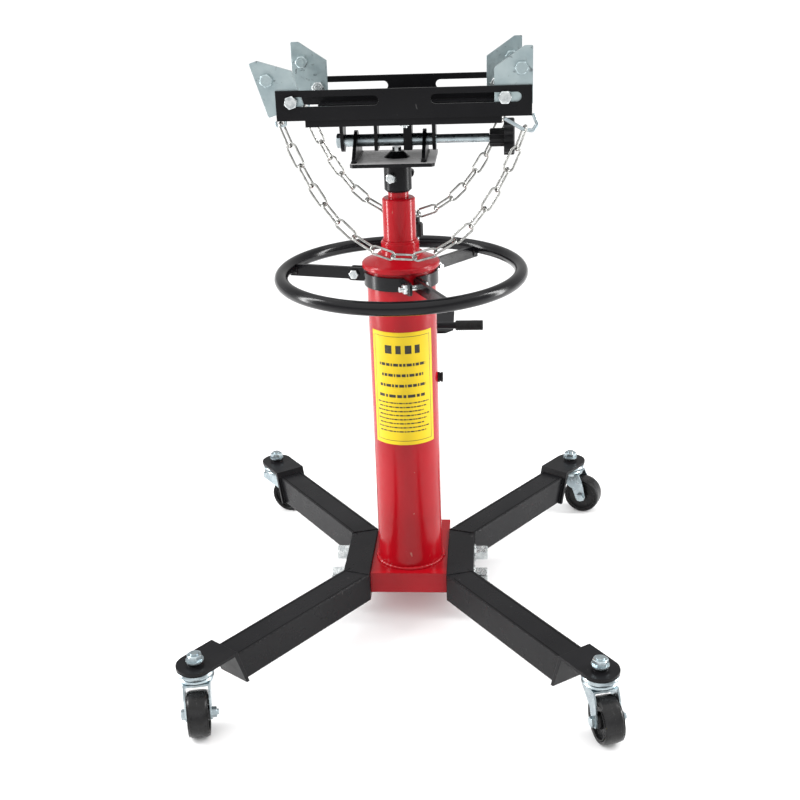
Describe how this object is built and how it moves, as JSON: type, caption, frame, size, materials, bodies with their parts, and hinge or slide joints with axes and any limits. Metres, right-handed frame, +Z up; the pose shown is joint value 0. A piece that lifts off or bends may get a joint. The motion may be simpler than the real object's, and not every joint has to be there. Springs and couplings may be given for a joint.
{
  "type": "transmission jack",
  "caption": "Telescopic foot-pumped transmission jack with a handle ring, a tilting slotted saddle, chain restraints and a swivel-caster cross base.",
  "frame": {"origin": "on the floor under the column's axis; the casters are parked as pictured, so the bounding box is not centred on it", "axes": "+X to the right of the jack seen from its label, +Y towards the foot pump at the back, +Z up along the column"},
  "size_m": [0.6369, 0.7867, 0.879],
  "materials": {
    "red_paint": "gloss",
    "black_coat": "satin powder coat",
    "zinc_plate": "zinc plated",
    "polished_steel": "ground and plated",
    "bright_steel": "turned",
    "black_plastic": "moulded",
    "black_rubber": "matt",
    "wheel_nylon": "moulded",
    "label_film": "printed film",
    "seal_rubber": "matt"
  },
  "bodies": {
    "base": {"base_block": "red_paint", "pump_body": "red_paint", "pump_barrel": "black_coat", "column_brackets": "red_paint", "pedal_pin": "zinc_plate", "reservoir_tube": "red_paint", "pressure_cylinder": "bright_steel", "column_cap": "red_paint", "column_wiper": "seal_rubber", "filler_plug": "black_plastic", "label": "label_film", "handle_ring": "black_coat", "clamp_band": "black_coat", "handle_spokes": "black_coat", "handle_bolts": "zinc_plate", "leg_right": "black_coat", "leg_left": "black_coat", "leg_bolts": "zinc_plate", "caster_pads": "black_coat", "caster_kingpins": "zinc_plate", "release_valve": "bright_steel", "plunger_spring": "zinc_plate"},
    "fork_front_left": {"caster_fork_front_left": "zinc_plate"},
    "wheel_front_left": {"caster_wheel_front_left": "wheel_nylon"},
    "fork_front_right": {"caster_fork_front_right": "zinc_plate"},
    "wheel_front_right": {"caster_wheel_front_right": "wheel_nylon"},
    "fork_rear_left": {"caster_fork_rear_left": "zinc_plate"},
    "wheel_rear_left": {"caster_wheel_rear_left": "wheel_nylon"},
    "fork_rear_right": {"caster_fork_rear_right": "zinc_plate"},
    "wheel_rear_right": {"caster_wheel_rear_right": "wheel_nylon"},
    "stage": {"stage_tube": "red_paint"},
    "ram": {"ram": "polished_steel"},
    "head": {"head_socket": "black_coat", "cradle": "black_coat", "head_bolts": "zinc_plate", "tilt_rod": "zinc_plate", "tilt_spacer": "zinc_plate"},
    "swivel_lock": {"swivel_knob": "black_plastic"},
    "tilt_lock": {"tilt_knob": "black_plastic"},
    "saddle": {"saddle_plate": "black_coat", "rail_front": "black_coat", "rail_rear": "black_coat", "rail_bolts": "zinc_plate", "chain_fittings": "zinc_plate"},
    "slide_front_left": {"slot_bolt_front_left": "zinc_plate"},
    "bracket_front_left": {"bracket_front_left": "zinc_plate"},
    "slide_front_right": {"slot_bolt_front_right": "zinc_plate"},
    "bracket_front_right": {"bracket_front_right": "zinc_plate"},
    "slide_rear_left": {"slot_bolt_rear_left": "zinc_plate"},
    "bracket_rear_left": {"bracket_rear_left": "zinc_plate"},
    "slide_rear_right": {"slot_bolt_rear_right": "zinc_plate"},
    "bracket_rear_right": {"bracket_rear_right": "zinc_plate"},
    "chain_front": {"chain_front": "zinc_plate"},
    "chain_rear": {"chain_rear": "zinc_plate"},
    "pedal": {"pedal_arm": "black_coat", "pedal_plate": "black_coat", "pedal_grip": "black_rubber"},
    "plunger": {"plunger": "polished_steel"},
    "release": {"release_rod": "zinc_plate", "release_knob": "black_plastic"}
  },
  "joints": [
    {"name": "swivel_front_left", "type": "hinge", "parent": "base", "child": "fork_front_left", "pos_m": [-0.27591, -0.33807, 0.075], "axis": [0, 0, 1], "continuous": true},
    {"name": "roll_front_left", "type": "hinge", "parent": "fork_front_left", "child": "wheel_front_left", "pos_m": [-0.27095, -0.36359, 0.0325], "axis": [0.9816, 0.1908, 0], "continuous": true},
    {"name": "swivel_front_right", "type": "hinge", "parent": "base", "child": "fork_front_right", "pos_m": [0.27591, -0.33807, 0.075], "axis": [0, 0, 1], "continuous": true},
    {"name": "roll_front_right", "type": "hinge", "parent": "fork_front_right", "child": "wheel_front_right", "pos_m": [0.28394, -0.3628, 0.0325], "axis": [0.9511, 0.309, 0], "continuous": true},
    {"name": "swivel_rear_left", "type": "hinge", "parent": "base", "child": "fork_rear_left", "pos_m": [-0.27591, 0.33807, 0.075], "axis": [0, 0, 1], "continuous": true},
    {"name": "roll_rear_left", "type": "hinge", "parent": "fork_rear_left", "child": "wheel_rear_left", "pos_m": [-0.25118, 0.33004, 0.0325], "axis": [0.309, 0.9511, 0], "continuous": true},
    {"name": "swivel_rear_right", "type": "hinge", "parent": "base", "child": "fork_rear_right", "pos_m": [0.27591, 0.33807, 0.075], "axis": [0, 0, 1], "continuous": true},
    {"name": "roll_rear_right", "type": "hinge", "parent": "fork_rear_right", "child": "wheel_rear_right", "pos_m": [0.30002, 0.32833, 0.0325], "axis": [0.3746, 0.9272, 0], "continuous": true},
    {"name": "stage_lift", "type": "slide", "parent": "base", "child": "stage", "axis": [0, 0, 1], "range_m": [0, 0.43]},
    {"name": "ram_lift", "type": "slide", "parent": "stage", "child": "ram", "axis": [0, 0, 1], "range_m": [0, 0.43]},
    {"name": "head_swivel", "type": "hinge", "parent": "ram", "child": "head", "pos_m": [0, 0, 0.675], "axis": [0, 0, 1], "continuous": true},
    {"name": "swivel_lock_turn", "type": "hinge", "parent": "head", "child": "swivel_lock", "pos_m": [0, 0.04, 0.697], "axis": [0, 1, 0], "continuous": true},
    {"name": "saddle_tilt", "type": "hinge", "parent": "head", "child": "saddle", "pos_m": [0, 0, 0.748], "axis": [1, 0, 0], "range_deg": [-20, 20]},
    {"name": "tilt_lock_turn", "type": "hinge", "parent": "head", "child": "tilt_lock", "pos_m": [0.15, 0, 0.748], "axis": [1, 0, 0], "continuous": true},
    {"name": "slide_front_left", "type": "slide", "parent": "saddle", "child": "slide_front_left", "axis": [1, 0, 0], "range_m": [-0.002, 0.111]},
    {"name": "pivot_front_left", "type": "hinge", "parent": "slide_front_left", "child": "bracket_front_left", "pos_m": [-0.134, -0.076, 0.814], "axis": [0, 1, 0], "range_deg": [0, 62]},
    {"name": "slide_front_right", "type": "slide", "parent": "saddle", "child": "slide_front_right", "axis": [1, 0, 0], "range_m": [-0.092, 0.015]},
    {"name": "pivot_front_right", "type": "hinge", "parent": "slide_front_right", "child": "bracket_front_right", "pos_m": [0.153, -0.076, 0.814], "axis": [0, 1, 0], "range_deg": [-45, 10]},
    {"name": "slide_rear_left", "type": "slide", "parent": "saddle", "child": "slide_rear_left", "axis": [1, 0, 0], "range_m": [-0.018, 0.095]},
    {"name": "pivot_rear_left", "type": "hinge", "parent": "slide_rear_left", "child": "bracket_rear_left", "pos_m": [-0.118, 0.076, 0.814], "axis": [0, 1, 0], "range_deg": [-10, 45]},
    {"name": "slide_rear_right", "type": "slide", "parent": "saddle", "child": "slide_rear_right", "axis": [1, 0, 0], "range_m": [-0.081, 0.026]},
    {"name": "pivot_rear_right", "type": "hinge", "parent": "slide_rear_right", "child": "bracket_rear_right", "pos_m": [0.142, 0.076, 0.814], "axis": [0, 1, 0], "range_deg": [-45, 10]},
    {"name": "chain_front_hang", "type": "hinge", "parent": "saddle", "child": "chain_front", "pos_m": [-0.15, -0.08025, 0.7828], "axis": [0.9993, 0, -0.0366], "range_deg": [-20, 20]},
    {"name": "chain_rear_hang", "type": "hinge", "parent": "saddle", "child": "chain_rear", "pos_m": [-0.141, 0.08025, 0.7828], "axis": [1, 0, 0], "range_deg": [-20, 20]},
    {"name": "pedal_press", "type": "hinge", "parent": "base", "child": "pedal", "pos_m": [0, 0.0645, 0.211], "axis": [-1, 0, 0], "range_deg": [0, 35], "stiffness_Nm_per_rad": 4, "springref_deg": -68.75},
    {"name": "plunger_stroke", "type": "slide", "parent": "base", "child": "plunger", "axis": [0, 0, -1], "range_m": [0, 0.0155], "deforming": ["plunger_spring"]},
    {"name": "release_turn", "type": "hinge", "parent": "base", "child": "release", "pos_m": [0.021, 0.0577, 0.594], "axis": [0, 0, 1], "range_deg": [0, 270]}
  ],
  "couplings": [
    {"joint": "plunger_stroke", "follows": "pedal_press", "m_per_rad": 0.025229},
    {"joint": "chain_front_hang", "follows": "saddle_tilt", "ratio": -1},
    {"joint": "chain_rear_hang", "follows": "saddle_tilt", "ratio": -1}
  ]
}
